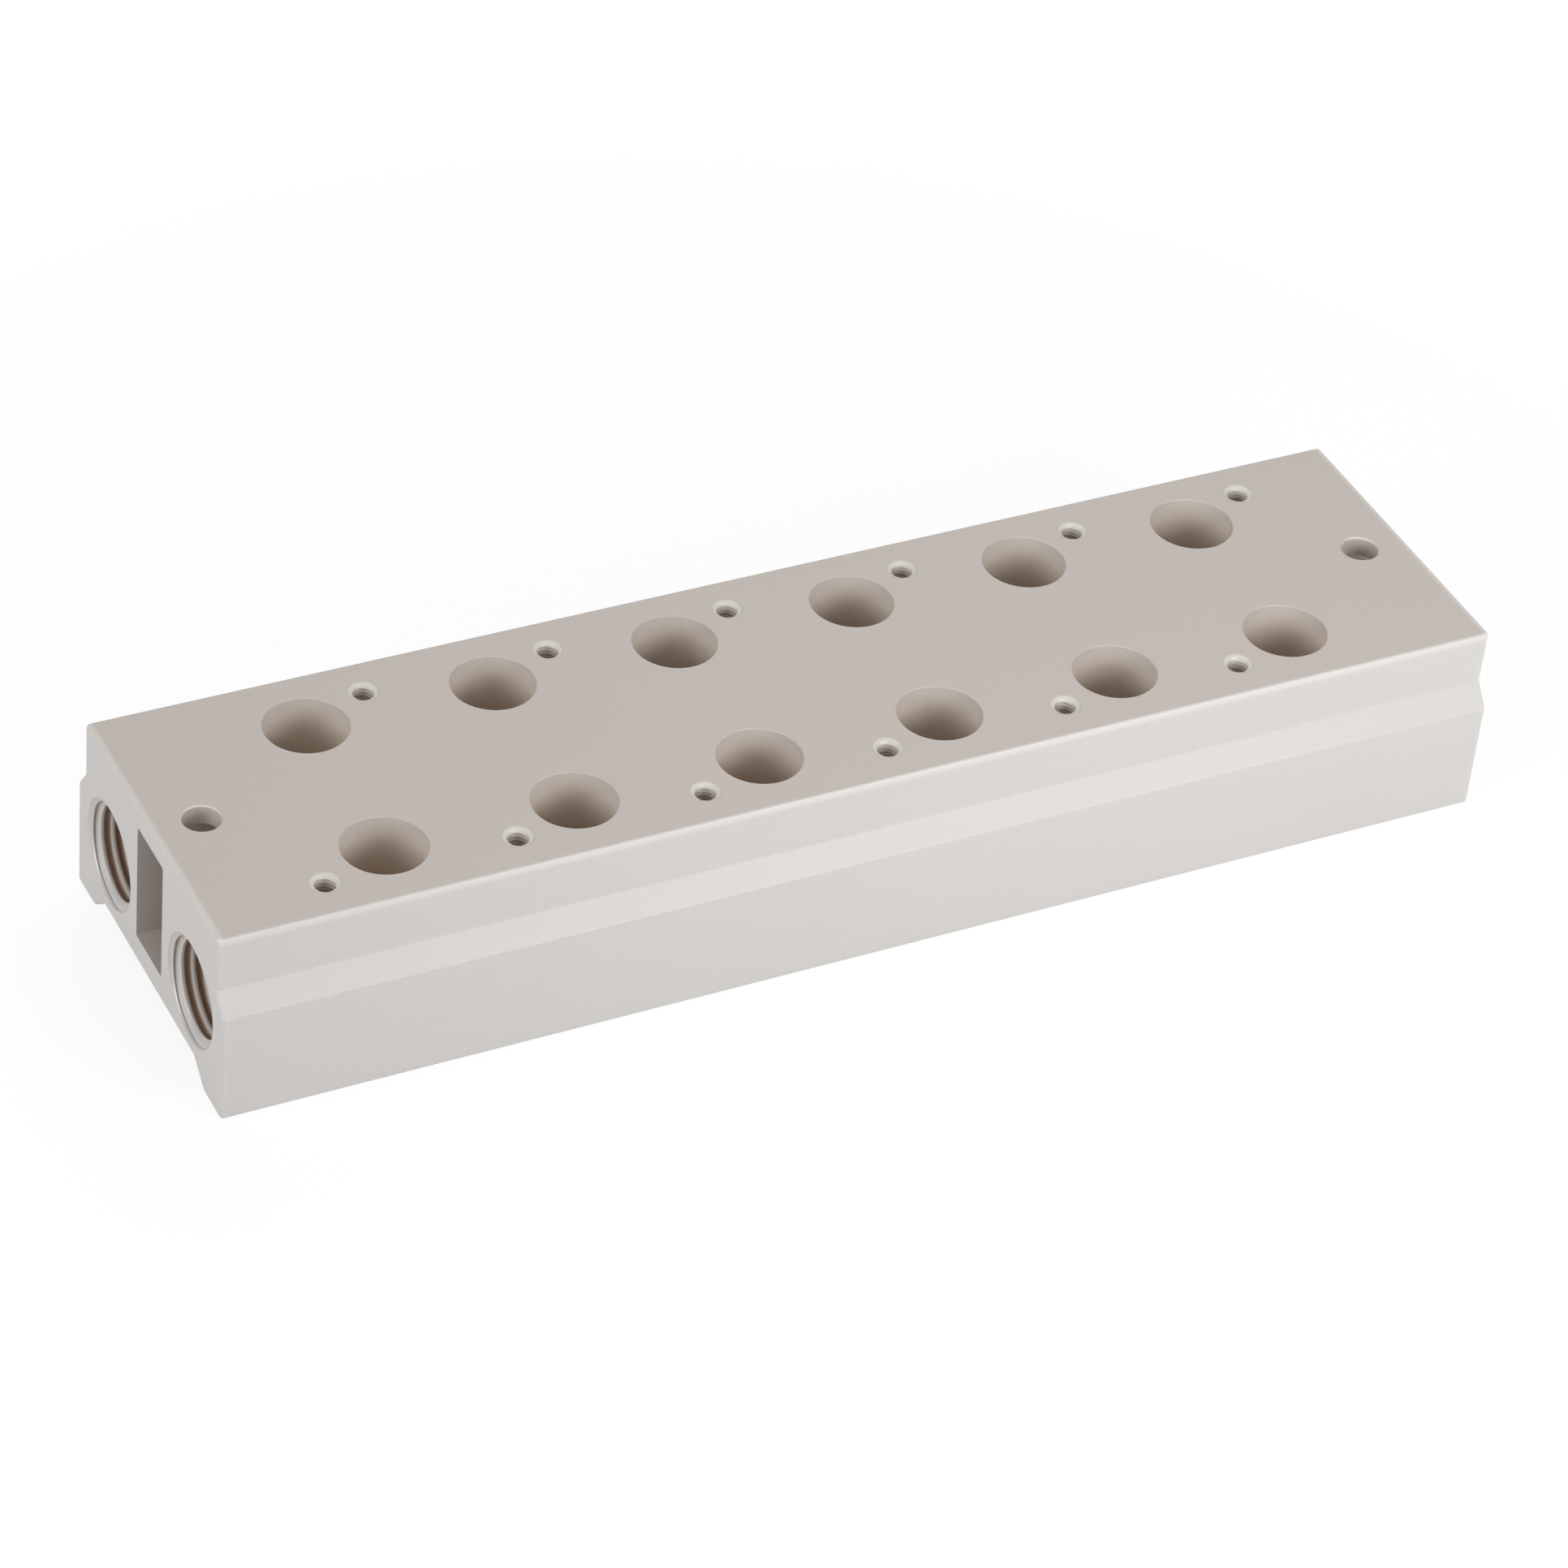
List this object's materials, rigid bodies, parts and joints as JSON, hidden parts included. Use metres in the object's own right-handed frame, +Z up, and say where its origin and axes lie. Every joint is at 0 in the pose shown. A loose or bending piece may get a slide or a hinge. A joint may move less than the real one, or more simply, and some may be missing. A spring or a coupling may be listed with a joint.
{
  "type": "valve manifold block",
  "caption": "Long coated aluminium valve manifold with a stepped section, two rows of round ports, small tapped holes, and tapped ports and a channel through its ends.",
  "frame": {"origin": "the middle of the underside, in the plane of the two feet", "axes": "+X along the block, +Y across it towards the rear row of ports, +Z up out of the valve face"},
  "size_m": [0.161, 0.0444, 0.0242],
  "materials": {
    "coated_aluminium": "satin"
  },
  "bodies": {
    "root": {"manifold_block": "coated_aluminium"}
  },
  "joints": []
}
